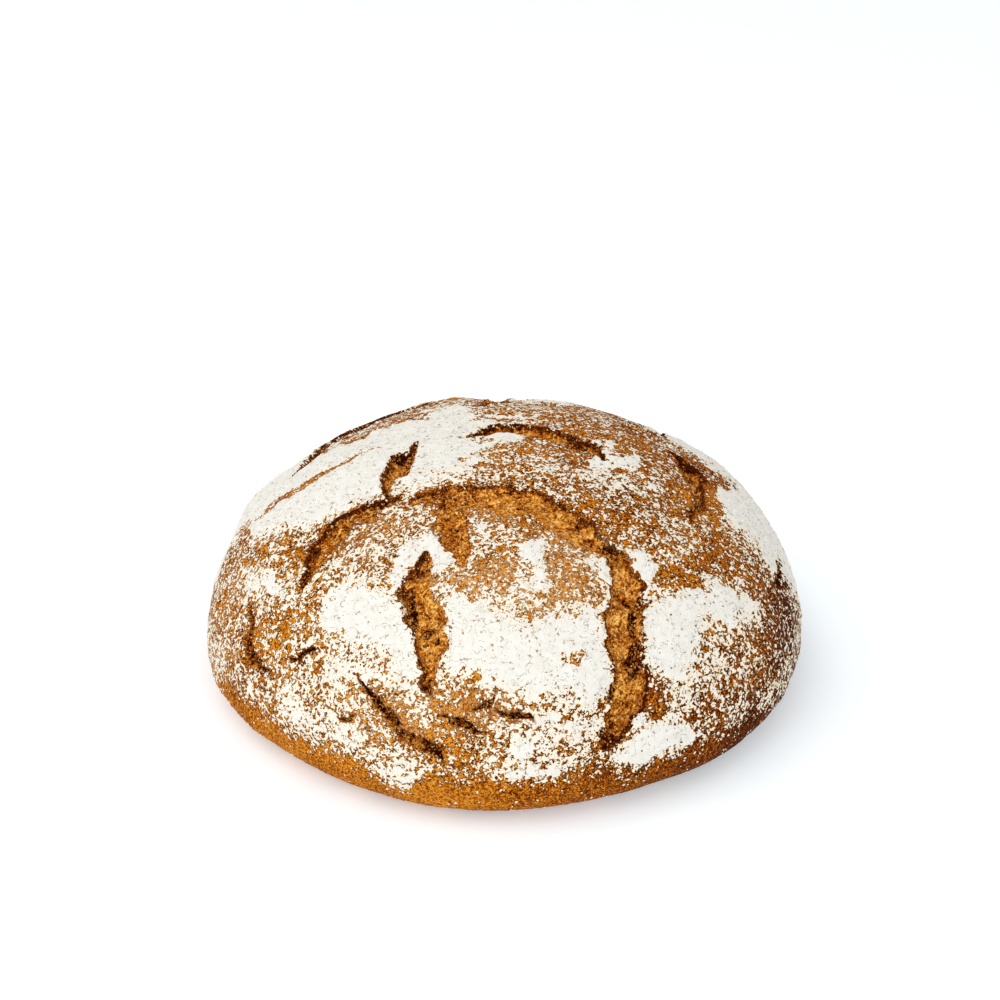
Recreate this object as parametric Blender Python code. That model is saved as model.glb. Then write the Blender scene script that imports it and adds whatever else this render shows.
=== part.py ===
"""A round, floured rye bread loaf: one baked solid with a flat foot, a domed crust and torn bursts."""

import math

import bpy
import numpy as np

MM = 0.001

# The loaf, about one kilogram: +X runs to its right, +Y to its back, and its foot lies on Z = 0.
LOAF_WIDTH = 228 * MM
LOAF_HEIGHT = 94 * MM
SHOULDER_HEIGHT = 16 * MM
FOOT_RADIUS = 97 * MM
DOME_POWER = 2.12

# The mesh: a round ball of small triangles is shaped first and thinned out afterwards.
BALL_SUBDIVISIONS = 7
FOOT_ANGLE = math.radians(152)
TRIANGLES_KEPT = 0.128
PROFILE_STEPS = 2000
PATH_STEPS = 48

# How uneven the outline is: the share of the radius added at each number of waves round the loaf.
OUTLINE_WAVES = ((2, 0.0089, 0.91), (3, 0.0099, -0.54), (4, 0.0082, -1.87), (5, 0.0107, 2.51),
                 (7, 0.002, 1.2))

# Swells of the dough, as the size of a swell, its height and the seed of its random numbers.
DOUGH_SWELLS = ((62 * MM, 1.4 * MM, 5), (25 * MM, 0.9 * MM, 8), (9 * MM, 0.4 * MM, 15))

# Lumps of dough that stand out by themselves. Each is its distance to the right of the crown and behind it
# over the crust, its reach and its height, all in millimetres.
DOUGH_LUMPS = ((-110, 42, 15, 3.0),)

# All relief fades out over this distance from the rim of the foot.
FOOT_FADE = 22 * MM

# The steep side of a burst falls within this share of its half width, and the other side slopes.
STEEP_WALL = 0.28
GENTLE_WALL = 1.1
LIP_REACH = 2.6 * MM

# How much of its lip a burst has on its sloping side.
GENTLE_LIP = 0.45

# The wide shallow hollow round a burst, as deep as this where the burst's half width is FULL_HALF_WIDTH.
HOLLOW_REACH = 13 * MM
HOLLOW_DEPTH = 1.8 * MM
FULL_HALF_WIDTH = 8 * MM

# The torn floor of a burst is rough, and its edges are ragged, with bumps of these sizes.
TORN_GRAIN = 4.5 * MM
TORN_RELIEF = 1.3 * MM
TORN_SEED = 31
RAGGED_GRAIN = 7 * MM
RAGGED_REACH = 2.6 * MM
RAGGED_SEEDS = (21, 22)

# Each burst of the crust: its depth, the height of its lip, its steep side (1 is left of its path, -1 is
# right and 0 is both), and its path over the crust as laid flat. A point there is its distance to the right
# of the crown, its distance behind it, and the half width of the burst, all in millimetres over the crust.
BURSTS = {
    "left_crescent": (2.7, 0.9, 1, ((-83, -62, 0.5), (-77, -51, 3.0), (-68, -41, 4.6), (-59, -36, 5.0),
                                    (-50, -33, 3.8), (-40, -29, 1.2))),
    "crown_arch": (1.9, 0.6, 1, ((-36, -33, 0.6), (-25, -30, 3.2), (-10, -32, 6.0), (4, -36, 7.6),
                                 (18, -43, 7.6), (31, -51, 5.6), (40, -59, 3.0))),
    "saddle": (1.2, 0.2, 0, ((-21, -34, 4.0), (-20, -46, 6.6), (-18, -57, 5.0), (-16, -66, 1.2))),
    "right_trench": (2.4, 0.0, 0, ((50, -74, 0.3), (51, -81, 1.6), (52, -88, 0.3), (54, -97, 1.9),
                                   (52, -104, 0.3))),
    "right_pocket": (1.8, 0.0, 0, ((47, -106, 0.3), (45, -113, 2.2), (42, -119, 0.3))),
    "foot_pocket": (1.6, 0.0, 0, ((43, -129, 0.3), (46, -131, 1.2), (50, -132, 0.3))),
    "front_left": (4.2, 1.1, -1, ((-29, -57, 0.8), (-31, -68, 4.8), (-32, -80, 7.6), (-28, -92, 7.4),
                                  (-29, -100, 6.0), (-30, -108, 4.0), (-29, -115, 0.8))),
    "front_right": (4.4, 1.0, 0, ((40, -55, 2.5), (48, -69, 5.6), (48, -80, 7.0), (46, -89, 8.0),
                                  (50, -100, 7.4), (52, -110, 6.6), (51, -119, 5.4), (49, -128, 3.6),
                                  (47, -135, 0.8))),
    "left_pocket": (2.0, 0.0, 0, ((-34, -72, 0.3), (-36, -76, 1.8), (-36, -81, 0.5), (-37, -86, 2.2),
                                  (-35, -92, 0.3))),
    "low_left": (4.0, 0.9, 1, ((-58, -105, 0.5), (-53, -114, 1.8), (-46, -124, 2.6), (-38, -131, 2.8),
                               (-30, -136, 2.1), (-25, -141, 0.5))),
    "low_middle": (2.4, 0.5, 1, ((-28, -122, 0.4), (-21, -127, 2.2), (-12, -131, 1.8), (-6, -131, 0.4))),
    "nick_left": (1.8, 0.4, 1, ((-14, -123, 0.4), (-9, -121, 1.5), (-5, -121, 1.3), (-3, -115, 0.4))),
    "nick_right": (2.0, 0.4, 1, ((-3, -122, 0.4), (2, -126, 1.5), (8, -125, 1.6), (14, -126, 0.4))),
    "far_left": (3.4, 0.6, 1, ((-107, -48, 0.5), (-107, -57, 2.1), (-113, -64, 2.5), (-111, -74, 2.8),
                               (-103, -84, 0.5))),
    "left_nick": (2.0, 0.4, 0, ((-94, -83, 0.3), (-88, -86, 1.3), (-83, -87, 1.4), (-77, -88, 0.3))),
    "left_pock": (1.6, 0.3, 0, ((-72, -113, 0.3), (-68, -118, 1.3), (-63, -117, 0.3))),
    "crown_left": (4.2, 0.9, -1, ((-34, 6, 0.8), (-38, -6, 3.4), (-42, -16, 3.8), (-43, -28, 0.8))),
    "crown_back": (3.4, 0.8, 1, ((-16, 9, 0.6), (-2, 15, 3.6), (14, 14, 5.0), (28, 6, 4.2), (39, -6, 0.8))),
    "right_rise": (3.0, 0.7, -1, ((70, -26, 0.5), (76, -12, 2.8), (74, 6, 3.8), (64, 20, 0.8))),
    "back_left": (4.4, 1.0, 1, ((-86, 22, 0.6), (-78, 40, 4.4), (-64, 54, 6.6), (-46, 62, 5.6),
                                (-30, 64, 1.0))),
    "back_middle": (3.6, 0.9, -1, ((-8, 44, 0.8), (-2, 60, 4.6), (-6, 78, 6.2), (-2, 94, 5.2),
                                   (4, 108, 0.8))),
    "back_right": (4.0, 1.0, -1, ((44, 34, 0.8), (58, 46, 5.2), (66, 62, 6.6), (78, 74, 4.8),
                                  (90, 80, 0.8))),
    "back_nick": (2.0, 0.5, 0, ((36, 108, 0.4), (46, 110, 1.8), (56, 104, 0.4))),
    "right_nick": (2.0, 0.5, 0, ((112, -34, 0.4), (118, -20, 1.7), (117, -6, 0.4))),
    "rear_side": (2.2, 0.5, 0, ((-96, 84, 0.4), (-84, 94, 1.9), (-70, 102, 0.4))),
}

CRUST_COLOUR = (0.50, 0.24, 0.07, 1)
CRUST_ROUGHNESS = 0.85


def clear_scene():
    """Empties the scene."""
    for obj in list(bpy.data.objects):
        bpy.data.objects.remove(obj, do_unlink=True)


def smooth_step(x):
    """A rise from 0 to 1 with flat ends."""
    x = np.clip(x, 0, 1)
    return x * x * (3 - 2 * x)


def corner_value(cell, seed):
    """A fixed random number from -1 to 1 for each corner of a lattice of whole numbers."""
    mixed = cell @ np.array([374761393, 668265263, 1274126177]) + seed * 362437
    mixed = mixed & 0xFFFFFFFF
    mixed = ((mixed ^ (mixed >> 13)) * 1274126177) & 0xFFFFFFFF
    mixed = ((mixed ^ (mixed >> 15)) * 668265263) & 0xFFFFFFFF
    return (mixed ^ (mixed >> 16)) / 0x7FFFFFFF - 1


def swell(points, size, seed):
    """Smooth random hills of about this size: the corners of a lattice, blended between."""
    scaled = points / size
    cell = np.floor(scaled).astype(np.int64)
    part = scaled - np.floor(scaled)
    blend = part ** 3 * (part * (part * 6 - 15) + 10)
    total = np.zeros(len(points))
    for corner in np.ndindex(2, 2, 2):
        share = np.where(corner, blend, 1 - blend).prod(axis=1)
        total += share * corner_value(cell + np.array(corner), seed)
    return total


def side_profile():
    """The mean side from the crown to the foot: the distance over the crust, the radius and the height."""
    radius = LOAF_WIDTH / 2
    rise = np.linspace(math.pi / 2, 0, PROFILE_STEPS)
    turn = np.linspace(0, math.pi / 2, PROFILE_STEPS // 4)[1:]
    dome_r = radius * np.clip(np.cos(rise), 0, 1) ** (2 / DOME_POWER)
    dome_z = SHOULDER_HEIGHT + (LOAF_HEIGHT - SHOULDER_HEIGHT) * np.sin(rise) ** (2 / DOME_POWER)
    under_r = radius - (radius - FOOT_RADIUS) * (1 - np.cos(turn))
    under_z = SHOULDER_HEIGHT * (1 - np.sin(turn))
    r = np.concatenate([dome_r, under_r])
    z = np.concatenate([dome_z, under_z])
    steps = np.hypot(np.diff(r), np.diff(z))
    return np.concatenate([[0], np.cumsum(steps)]), r, z


def smooth_path(points):
    """A cubic curve through the points, which leaves each one in the direction from the point before to the
    point after, as even samples of (right, back, half width)."""
    given = np.array(points, float) * MM
    ends = np.vstack([2 * given[0] - given[1], given, 2 * given[-1] - given[-2]])
    place = np.linspace(0, len(given) - 1, PATH_STEPS)
    first = np.minimum(place.astype(int), len(given) - 2)
    t = (place - first)[:, None]
    a, b, c, d = (ends[first + k] for k in range(4))
    return 0.5 * (2 * b + (c - a) * t + (2 * a - 5 * b + 4 * c - d) * t ** 2
                  + (3 * b - a - 3 * c + d) * t ** 3)


def across_path(flat, path):
    """The signed distance of each flat point from the path, left being positive, and the half width there."""
    start = path[:-1, :2]
    along = path[1:, :2] - start
    offset = flat[:, None, :] - start[None]
    share = np.clip((offset * along).sum(2) / (along ** 2).sum(1), 0, 1)
    away = offset - share[..., None] * along
    distance = np.hypot(away[..., 0], away[..., 1])
    nearest = distance.argmin(axis=1)
    rows = np.arange(len(flat))
    chosen = along[nearest]
    gap = away[rows, nearest]
    left = np.sign(chosen[:, 0] * gap[:, 1] - chosen[:, 1] * gap[:, 0])
    half = path[:, 2]
    width = half[nearest] + share[rows, nearest] * (half[nearest + 1] - half[nearest])
    return distance[rows, nearest] * np.where(left < 0, -1, 1), np.maximum(width, 0.2 * MM)


def burst_relief(flat, torn_grain):
    """How far the bursts lower the crust, or with their lips raise it, in metres."""
    relief = np.zeros(len(flat))
    for depth, lip, steep, points in BURSTS.values():
        path = smooth_path(points)
        widest = path[:, 2].max()
        reach = widest + 3 * HOLLOW_REACH
        near = np.all((flat > path[:, :2].min(0) - reach) & (flat < path[:, :2].max(0) + reach), axis=1)
        across, width = across_path(flat[near], path)
        x = across / width
        left_wall = STEEP_WALL if steep >= 0 else GENTLE_WALL
        right_wall = STEEP_WALL if steep <= 0 else GENTLE_WALL
        inside = smooth_step((1 - x) / left_wall) * smooth_step((1 + x) / right_wall)
        size = np.sqrt(width / widest)
        past_edge = (np.abs(across) - width) / LIP_REACH
        lip_share = np.where(x * steep > 0, 1, GENTLE_LIP)
        lip_here = np.where(past_edge > 0, np.exp(-past_edge ** 2), 0) * lip_share
        hollow = np.exp(-(across / HOLLOW_REACH) ** 2) * (widest / FULL_HALF_WIDTH)
        relief[near] += lip * MM * size * lip_here - HOLLOW_DEPTH * hollow * size
        relief[near] -= inside * size * (depth * MM + TORN_RELIEF * torn_grain[near])
    return relief


def lump_relief(flat):
    """How far the lumps of dough raise the crust, in metres: a bell round the middle of each."""
    relief = np.zeros(len(flat))
    for right, back, reach, tall in DOUGH_LUMPS:
        away = np.hypot(flat[:, 0] - right * MM, flat[:, 1] - back * MM)
        relief += tall * MM * np.exp(-(away / (reach * MM)) ** 2)
    return relief


def loaf_points(ball):
    """Moves the points of a unit ball to the surface of the loaf."""
    arc, profile_r, profile_z = side_profile()
    polar = np.arccos(np.clip(ball[:, 2], -1, 1))
    round_angle = np.arctan2(ball[:, 1], ball[:, 0])
    over_crust = arc[-1] * np.clip(polar / FOOT_ANGLE, 0, 1)
    under_foot = np.clip((math.pi - polar) / (math.pi - FOOT_ANGLE), 0, 1)
    r = np.interp(over_crust, arc, profile_r) * under_foot
    z = np.interp(over_crust, arc, profile_z)
    lean_r = -np.interp(over_crust, arc, np.gradient(profile_z, arc))
    lean_z = np.interp(over_crust, arc, np.gradient(profile_r, arc))

    waves = sum(share * np.cos(count * round_angle + turn) for count, share, turn in OUTLINE_WAVES)
    r = r * (1 + waves)
    ring = np.stack([np.cos(round_angle), np.sin(round_angle)], axis=1)
    place = np.column_stack([ring * r[:, None], z])
    ragged = np.column_stack([swell(place, RAGGED_GRAIN, seed) for seed in RAGGED_SEEDS])
    flat = ring * over_crust[:, None] + RAGGED_REACH * ragged
    height = sum(tall * swell(place, size, seed) for size, tall, seed in DOUGH_SWELLS)
    height = height + lump_relief(flat) + burst_relief(flat, swell(place, TORN_GRAIN, TORN_SEED))
    height = height * smooth_step((arc[-1] - over_crust) / FOOT_FADE)

    place[:, :2] += ring * (height * lean_r)[:, None]
    place[:, 2] = np.maximum(place[:, 2] + height * lean_z, 0)
    return place


def bread_crust():
    """The baked crust: brown and dull."""
    material = bpy.data.materials.new("rye_crust")
    material.use_nodes = True
    shader = material.node_tree.nodes["Principled BSDF"]
    shader.inputs["Base Color"].default_value = CRUST_COLOUR
    shader.inputs["Roughness"].default_value = CRUST_ROUGHNESS
    shader.inputs["Metallic"].default_value = 0
    material.diffuse_color = CRUST_COLOUR
    return material


def make_loaf(collection):
    """Shapes a ball into the loaf, centres it on its foot and thins out its triangles."""
    bpy.ops.mesh.primitive_ico_sphere_add(subdivisions=BALL_SUBDIVISIONS, radius=1)
    loaf = bpy.context.object
    loaf.name = "loaf"
    for owner in list(loaf.users_collection):
        owner.objects.unlink(loaf)
    collection.objects.link(loaf)
    mesh = loaf.data
    mesh.name = "loaf"

    ball = np.empty(len(mesh.vertices) * 3)
    mesh.vertices.foreach_get("co", ball)
    points = loaf_points(ball.reshape(-1, 3))
    points[:, :2] -= (points[:, :2].min(0) + points[:, :2].max(0)) / 2
    mesh.vertices.foreach_set("co", points.ravel())
    mesh.update()

    thin = loaf.modifiers.new("fewer_triangles", "DECIMATE")
    thin.decimate_type = "COLLAPSE"
    thin.ratio = TRIANGLES_KEPT
    thin.use_collapse_triangulate = True
    mesh.shade_smooth()
    mesh.materials.append(bread_crust())
    return loaf


def main():
    clear_scene()
    collection = bpy.data.collections.new("rye_bread_loaf")
    bpy.context.scene.collection.children.link(collection)
    make_loaf(collection)


main()
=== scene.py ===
# %% [markdown]
# # A round rye loaf, dusted and torn
#
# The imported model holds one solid: a baked loaf with a flat foot, a low dome and torn bursts. This lesson
# lays the real crust over that solid. The loaf is one closed skin worked out on a grid, with fine relief
# in its tears, and thousands of small grains lie on it: flour, bran and torn crumb. Lengths are worked
# out in metres, +X is the loaf's right, +Y is its back and +Z is up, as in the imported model.

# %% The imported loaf
import math

import bmesh
import bpy
import numpy as np
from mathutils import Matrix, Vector


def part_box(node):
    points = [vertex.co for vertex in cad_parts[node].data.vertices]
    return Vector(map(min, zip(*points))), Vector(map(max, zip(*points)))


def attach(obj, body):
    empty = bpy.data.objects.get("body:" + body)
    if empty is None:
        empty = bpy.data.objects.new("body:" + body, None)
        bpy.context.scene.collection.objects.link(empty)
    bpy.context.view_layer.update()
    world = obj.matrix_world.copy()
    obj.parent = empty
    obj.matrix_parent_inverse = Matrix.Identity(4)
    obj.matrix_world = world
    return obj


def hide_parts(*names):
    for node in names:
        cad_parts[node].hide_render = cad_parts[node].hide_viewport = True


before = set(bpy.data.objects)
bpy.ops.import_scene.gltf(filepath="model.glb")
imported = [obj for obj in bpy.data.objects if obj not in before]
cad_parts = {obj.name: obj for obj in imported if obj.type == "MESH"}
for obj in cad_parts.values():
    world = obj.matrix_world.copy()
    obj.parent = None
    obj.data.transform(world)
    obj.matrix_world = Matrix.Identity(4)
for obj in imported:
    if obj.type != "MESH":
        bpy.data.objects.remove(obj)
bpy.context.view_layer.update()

loaf_low, loaf_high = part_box("loaf")
print("the packed loaf is", [round(1000 * side) for side in loaf_high - loaf_low], "mm")

# %% [markdown]
# ## Soft random hills
#
# Dough, torn crumb and dusted flour are uneven at every size, so they all start from one source of soft
# hills. A lattice of fixed random numbers is blended with a curve that is flat at each corner. A texture
# with a displacement modifier would do the same, but a function can be read by the shape and by the
# colours at once, and it gives the same loaf at each run.

# %% Hills from a lattice
MM = 0.001


def smooth_step(x):
    """A rise from 0 to 1 with flat ends: 3 x squared less 2 x cubed."""
    x = np.clip(x, 0, 1)
    return x * x * (3 - 2 * x)


def corner_value(cell, seed):
    """A fixed random number from -1 to 1 for each corner of a lattice of whole numbers."""
    mixed = cell @ np.array([374761393, 668265263, 1274126177]) + seed * 362437
    mixed = mixed & 0xFFFFFFFF
    mixed = ((mixed ^ (mixed >> 13)) * 1274126177) & 0xFFFFFFFF
    mixed = ((mixed ^ (mixed >> 15)) * 668265263) & 0xFFFFFFFF
    return (mixed ^ (mixed >> 16)) / 0x7FFFFFFF - 1


def swell(points, size, seed):
    """Soft hills of about this size, from -1 to 1: the eight corners of a cell, blended by distance."""
    scaled = points / size
    cell = np.floor(scaled).astype(np.int64)
    part = scaled - np.floor(scaled)
    blend = part ** 3 * (part * (part * 6 - 15) + 10)
    total = np.zeros(len(points))
    for corner in np.ndindex(2, 2, 2):
        share = np.where(corner, blend, 1 - blend).prod(axis=1)
        total += share * corner_value(cell + np.array(corner), seed)
    return total


def summed_swells(points, waves):
    """Soft hills of several sizes added up, each wave being a size, a share and a seed."""
    return sum(share * swell(points, size, seed) for size, share, seed in waves)


def holes(points, size, seed):
    """Round holes, from 0 on the surface to 1 in their middle: each cell of a lattice may have one, at a
    random point, and a hole's radius is up to four tenths of the cell."""
    scaled = points / size
    cell = np.floor(scaled).astype(np.int64)
    deepest = np.zeros(len(points))
    for step in np.ndindex(3, 3, 3):
        owner = cell + np.array(step) - 1
        shift = np.column_stack([corner_value(owner, seed + axis) for axis in range(3)])
        away = np.linalg.norm(scaled - owner - 0.5 - 0.3 * shift, axis=1)
        radius = 0.4 * np.clip(corner_value(owner, seed + 7), 0.05, 1)
        deepest = np.maximum(deepest, smooth_step((radius - away) / (0.6 * radius)))
    return deepest


# %% [markdown]
# ## The loaf before it tears
#
# A free-standing loaf spreads on the oven floor, so seen from the side it is a flattened dome on a short
# tucked-in foot. The dome follows a curve a little fuller than an ellipse, and the foot is a quarter of
# one. The crust can be laid flat: a point of it is then a distance to the right of the crown and a
# distance behind it, both measured over the crust. Tears and flour are placed on that flat map.

# %% The side of the loaf
LOAF_WIDTH = 228 * MM
LOAF_HEIGHT = 94 * MM
SHOULDER_HEIGHT = 16 * MM
FOOT_RADIUS = 97 * MM
DOME_POWER = 2.12
PROFILE_STEPS = 2000
# Each wave as how many go round the loaf, its share of the radius, and its turn in radians.
OUTLINE_WAVES = ((2, 0.0089, 0.91), (3, 0.0099, -0.54), (4, 0.0082, -1.87), (5, 0.0107, 2.51),
                 (7, 0.002, 1.2))


def side_profile():
    """The mean side from the crown to the foot: the distance over the crust, the radius and the height.

    On the dome the radius goes as a cosine and the height as a sine, both to the power 2 / DOME_POWER."""
    radius = LOAF_WIDTH / 2
    rise = np.linspace(math.pi / 2, 0, PROFILE_STEPS)
    turn = np.linspace(0, math.pi / 2, PROFILE_STEPS // 4)[1:]
    dome_r = radius * np.clip(np.cos(rise), 0, 1) ** (2 / DOME_POWER)
    dome_z = SHOULDER_HEIGHT + (LOAF_HEIGHT - SHOULDER_HEIGHT) * np.sin(rise) ** (2 / DOME_POWER)
    under_r = radius - (radius - FOOT_RADIUS) * (1 - np.cos(turn))
    under_z = SHOULDER_HEIGHT * (1 - np.sin(turn))
    r = np.concatenate([dome_r, under_r])
    z = np.concatenate([dome_z, under_z])
    steps = np.hypot(np.diff(r), np.diff(z))
    return np.concatenate([[0], np.cumsum(steps)]), r, z


ARC, PROFILE_R, PROFILE_Z = side_profile()
CRUST_REACH = ARC[-1]
print("over the crust from crown to foot:", round(CRUST_REACH / MM), "mm")


def outline(angle):
    """How far the loaf is from round at each angle, as a share of its radius: a sum of a few waves."""
    return 1 + sum(share * np.cos(count * angle + turn) for count, share, turn in OUTLINE_WAVES)


def unroll(flat):
    """The place, the way out along the ground and the outward lean of points on the flat map."""
    over_crust = np.hypot(flat[:, 0], flat[:, 1])
    way_out = flat / over_crust[:, None]
    angle = np.arctan2(flat[:, 1], flat[:, 0])
    r = np.interp(over_crust, ARC, PROFILE_R) * outline(angle)
    z = np.interp(over_crust, ARC, PROFILE_Z)
    lean_r = -np.interp(over_crust, ARC, np.gradient(PROFILE_Z, ARC))
    lean_z = np.interp(over_crust, ARC, np.gradient(PROFILE_R, ARC))
    return np.column_stack([way_out * r[:, None], z]), way_out, lean_r, lean_z


# %% [markdown]
# ## The bursts
#
# Steam and swelling dough tear the crust where it is weakest. A burst has a path over the crust and a half
# width that changes along it. One side is often a steep wall under a raised lip, and the other slopes up
# gently, because the crust opened like a hinged lid. The floor between them is torn crumb, with ridges and
# round holes. Cutting these with a Boolean would give smooth walls, so the bursts lower the crust by a
# formula, and the distance to the path is made ragged first.

# %% The paths of the bursts
STEEP_WALL = 0.28
GENTLE_WALL = 1.1
LIP_REACH = 2.6 * MM
GENTLE_LIP = 0.45
HOLLOW_REACH = 13 * MM
HOLLOW_DEPTH = 1.8 * MM
FULL_HALF_WIDTH = 8 * MM
TORN_GRAIN = 4.5 * MM
TORN_RELIEF = 1.3 * MM
TORN_SEED = 31
RAGGED_GRAIN = 7 * MM
RAGGED_REACH = 2.6 * MM
RAGGED_SEEDS = (21, 22)
SCALLOP_GRAIN = 2.3 * MM
SCALLOP_REACH = 0.8 * MM
SCALLOP_SEEDS = (23, 24)
# Dark tear edges: partly a scorched rim, partly painted shade; narrow tears get painted shade inside.
BURNT_AND_SHADE_REACH = 0.6 * MM
NARROW_TEAR = 4.8 * MM
BURNT_AND_SHADE_DEPTH = 2.2 * MM
LEAST_HALF_WIDTH = 0.2 * MM
CRUMB_HALF_WIDTH = 1.2 * MM
GENTLE_BURN_AND_SHADE = 0.25
PATH_STEPS = 48

# Each burst: its depth, the height of its lip, its steep side (1 is left of its path, -1 is right and 0 is
# both), and its path as points of (right of the crown, behind it, half width), all in millimetres.
BURSTS = {
    "left_crescent": (2.7, 0.9, 1, ((-83, -62, 0.5), (-77, -51, 3.0), (-68, -41, 4.6), (-59, -36, 5.0),
        (-50, -33, 3.8), (-40, -29, 1.2))),
    "crown_arch": (1.9, 0.6, 1, ((-36, -33, 0.6), (-25, -30, 3.2), (-10, -32, 6.0), (4, -36, 7.6),
        (18, -43, 7.6), (31, -51, 5.6), (40, -59, 3.0))),
    "saddle": (1.2, 0.2, 0, ((-21, -34, 4.0), (-20, -46, 6.6), (-18, -57, 5.0), (-16, -66, 1.2))),
    "right_trench": (2.4, 0.0, 0, ((50, -74, 0.3), (51, -81, 1.6), (52, -88, 0.3), (54, -97, 1.9),
        (52, -104, 0.3))),
    "right_pocket": (1.8, 0.0, 0, ((47, -106, 0.3), (45, -113, 2.2), (42, -119, 0.3))),
    "foot_pocket": (1.6, 0.0, 0, ((43, -129, 0.3), (46, -131, 1.2), (50, -132, 0.3))),
    "front_left": (4.2, 1.1, -1, ((-29, -57, 0.8), (-31, -68, 4.8), (-32, -80, 7.6), (-28, -92, 7.4),
        (-29, -100, 6.0), (-30, -108, 4.0), (-29, -115, 0.8))),
    "front_right": (4.4, 1.0, 0, ((40, -55, 2.5), (48, -69, 5.6), (48, -80, 7.0), (46, -89, 8.0),
        (50, -100, 7.4), (52, -110, 6.6), (51, -119, 5.4), (49, -128, 3.6), (47, -135, 0.8))),
    "left_pocket": (2.0, 0.0, 0, ((-34, -72, 0.3), (-36, -76, 1.8), (-36, -81, 0.5), (-37, -86, 2.2),
        (-35, -92, 0.3))),
    "low_left": (4.0, 0.9, 1, ((-58, -105, 0.5), (-53, -114, 1.8), (-46, -124, 2.6), (-38, -131, 2.8),
        (-30, -136, 2.1), (-25, -141, 0.5))),
    "low_middle": (2.4, 0.5, 1, ((-28, -122, 0.4), (-21, -127, 2.2), (-12, -131, 1.8), (-6, -131, 0.4))),
    "nick_left": (1.8, 0.4, 1, ((-14, -123, 0.4), (-9, -121, 1.5), (-5, -121, 1.3), (-3, -115, 0.4))),
    "nick_right": (2.0, 0.4, 1, ((-3, -122, 0.4), (2, -126, 1.5), (8, -125, 1.6), (14, -126, 0.4))),
    "far_left": (3.4, 0.6, 1, ((-107, -48, 0.5), (-107, -57, 2.1), (-113, -64, 2.5), (-111, -74, 2.8),
        (-103, -84, 0.5))),
    "left_nick": (2.0, 0.4, 0, ((-94, -83, 0.3), (-88, -86, 1.3), (-83, -87, 1.4), (-77, -88, 0.3))),
    "left_pock": (1.6, 0.3, 0, ((-72, -113, 0.3), (-68, -118, 1.3), (-63, -117, 0.3))),
    "crown_left": (4.2, 0.9, -1, ((-34, 6, 0.8), (-38, -6, 3.4), (-42, -16, 3.8), (-43, -28, 0.8))),
    "crown_back": (3.4, 0.8, 1, ((-16, 9, 0.6), (-2, 15, 3.6), (14, 14, 5.0), (28, 6, 4.2), (39, -6, 0.8))),
    "right_rise": (3.0, 0.7, -1, ((70, -26, 0.5), (76, -12, 2.8), (74, 6, 3.8), (64, 20, 0.8))),
    "back_left": (4.4, 1.0, 1, ((-86, 22, 0.6), (-78, 40, 4.4), (-64, 54, 6.6), (-46, 62, 5.6),
        (-30, 64, 1.0))),
    "back_middle": (3.6, 0.9, -1, ((-8, 44, 0.8), (-2, 60, 4.6), (-6, 78, 6.2), (-2, 94, 5.2),
        (4, 108, 0.8))),
    "back_right": (4.0, 1.0, -1, ((44, 34, 0.8), (58, 46, 5.2), (66, 62, 6.6), (78, 74, 4.8),
        (90, 80, 0.8))),
    "back_nick": (2.0, 0.5, 0, ((36, 108, 0.4), (46, 110, 1.8), (56, 104, 0.4))),
    "right_nick": (2.0, 0.5, 0, ((112, -34, 0.4), (118, -20, 1.7), (117, -6, 0.4))),
    "rear_side": (2.2, 0.5, 0, ((-96, 84, 0.4), (-84, 94, 1.9), (-70, 102, 0.4))),
}


def smooth_path(points):
    """A cubic curve through the points, which leaves each one in the direction from the point before to
    the point after, as even samples of (right, back, half width)."""
    given = np.array(points, float) * MM
    ends = np.vstack([2 * given[0] - given[1], given, 2 * given[-1] - given[-2]])
    place = np.linspace(0, len(given) - 1, PATH_STEPS)
    first = np.minimum(place.astype(int), len(given) - 2)
    t = (place - first)[:, None]
    a, b, c, d = (ends[first + k] for k in range(4))
    return 0.5 * (2 * b + (c - a) * t + (2 * a - 5 * b + 4 * c - d) * t ** 2
                  + (3 * b - a - 3 * c + d) * t ** 3)


def from_segments(flat, start, along):
    """For each flat point and each segment: the offset from the segment's start, the share of the segment
    up to its nearest point, and the way from that point."""
    offset = flat[:, None, :] - start[None]
    share = np.clip((offset * along).sum(2) / (along ** 2).sum(1), 0, 1)
    return offset, share, offset - share[..., None] * along


def across_path(flat, path):
    """The signed distance of each flat point from the path, left being positive, and the half width."""
    start = path[:-1, :2]
    along = path[1:, :2] - start
    _, share, away = from_segments(flat, start, along)
    distance = np.hypot(away[..., 0], away[..., 1])
    nearest = distance.argmin(axis=1)
    rows = np.arange(len(flat))
    chosen = along[nearest]
    gap = away[rows, nearest]
    left = np.sign(chosen[:, 0] * gap[:, 1] - chosen[:, 1] * gap[:, 0])
    half = path[:, 2]
    width = half[nearest] + share[rows, nearest] * (half[nearest + 1] - half[nearest])
    return distance[rows, nearest] * np.where(left < 0, -1, 1), np.maximum(width, LEAST_HALF_WIDTH)


print(len(BURSTS), "bursts")
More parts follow.
